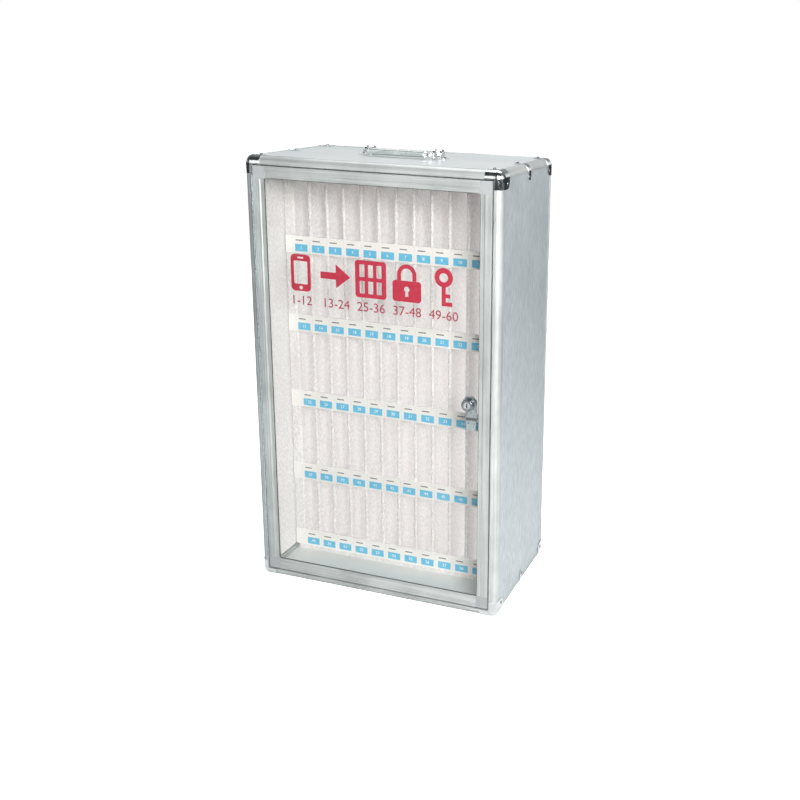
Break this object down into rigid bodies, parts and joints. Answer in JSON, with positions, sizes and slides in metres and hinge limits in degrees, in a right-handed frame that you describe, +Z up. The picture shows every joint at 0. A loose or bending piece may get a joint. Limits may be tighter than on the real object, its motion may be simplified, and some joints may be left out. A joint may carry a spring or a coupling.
{
  "type": "cell phone locker box",
  "caption": "Aluminium-framed cabinet with a clear hinged door, a cam lock, foam slots for phones in tiers, numbered label strips and a folding top handle",
  "frame": {"origin": "the middle of the footprint, on the surface that the cabinet stands on", "axes": "+X to the right seen from the front, +Y from the door to the back, +Z up"},
  "size_m": [0.4338, 0.2452, 0.7324],
  "materials": {
    "frame_aluminium": "satin anodised, pale silver",
    "door_aluminium": "satin anodised with fine lengthwise grooves",
    "embossed_panel": "thin sheet with fine wavy upright embossing",
    "pale_panel": "smooth, near white, satin",
    "chrome": "bright plated",
    "zinc_steel": "bright zinc, bluish",
    "grey_plastic": "moulded, matt grey",
    "clear_sheet": "clear, glossy",
    "seal_rubber": "dark, matt",
    "white_foam": "soft white closed-cell foam",
    "white_plastic": "white, slightly glossy",
    "card": "printed card with plain numbers"
  },
  "bodies": {
    "cabinet": {"back_pad": "white_foam", "back_panel": "pale_panel", "back_post_left": "frame_aluminium", "back_post_right": "frame_aluminium", "back_rail_bottom": "frame_aluminium", "back_rail_top": "frame_aluminium", "bottom_panel": "pale_panel", "corner_caps_back": "chrome", "corner_caps_front": "chrome", "corner_connectors": "grey_plastic", "dividers_1": "white_foam", "dividers_2": "white_foam", "dividers_3": "white_foam", "dividers_4": "white_foam", "dividers_5": "white_foam", "edge_straps": "chrome", "floor_pad": "white_foam", "front_post_left": "frame_aluminium", "front_post_right": "frame_aluminium", "front_rail_bottom": "frame_aluminium", "front_rail_top": "frame_aluminium", "handle_mounts": "chrome", "handle_pins": "zinc_steel", "hinge_leaf_cabinet": "frame_aluminium", "hinge_pin": "zinc_steel", "label_cards": "card", "label_strip_1": "white_plastic", "label_strip_2": "white_plastic", "label_strip_3": "white_plastic", "label_strip_4": "white_plastic", "label_strip_5": "white_plastic", "rivets": "chrome", "shelf_1": "white_foam", "shelf_2": "white_foam", "shelf_3": "white_foam", "shelf_4": "white_foam", "shelf_5": "white_foam", "side_pads": "white_foam", "side_panel_left": "embossed_panel", "side_panel_right": "embossed_panel", "side_rail_bottom_left": "frame_aluminium", "side_rail_bottom_right": "frame_aluminium", "side_rail_top_left": "frame_aluminium", "side_rail_top_right": "frame_aluminium", "top_panel": "pale_panel"},
    "door": {"door_stile_left": "door_aluminium", "door_stile_right": "door_aluminium", "door_rail_bottom": "door_aluminium", "door_rail_top": "door_aluminium", "door_corner_blocks": "grey_plastic", "door_panel": "clear_sheet", "door_gasket": "seal_rubber", "hinge_leaf_door": "frame_aluminium", "lock_body": "chrome", "lock_nut": "chrome"},
    "lock_cylinder": {"lock_plug": "chrome", "cam": "zinc_steel", "cam_screw": "zinc_steel"},
    "handle": {"handle_bail": "chrome", "handle_grip": "chrome"}
  },
  "joints": [
    {"name": "door_hinge", "type": "hinge", "parent": "cabinet", "child": "door", "pos_m": [-0.2007, -0.1218, 0.35985], "axis": [0, 0, -1], "range_deg": [0, 180]},
    {"name": "lock_turn", "type": "hinge", "parent": "door", "child": "lock_cylinder", "pos_m": [0.1625, -0.12, 0.357], "axis": [0, -1, 0], "range_deg": [0, 90]},
    {"name": "handle_fold", "type": "hinge", "parent": "cabinet", "child": "handle", "pos_m": [0, 0.004, 0.72595], "axis": [-1, 0, 0], "range_deg": [0, 95]}
  ]
}
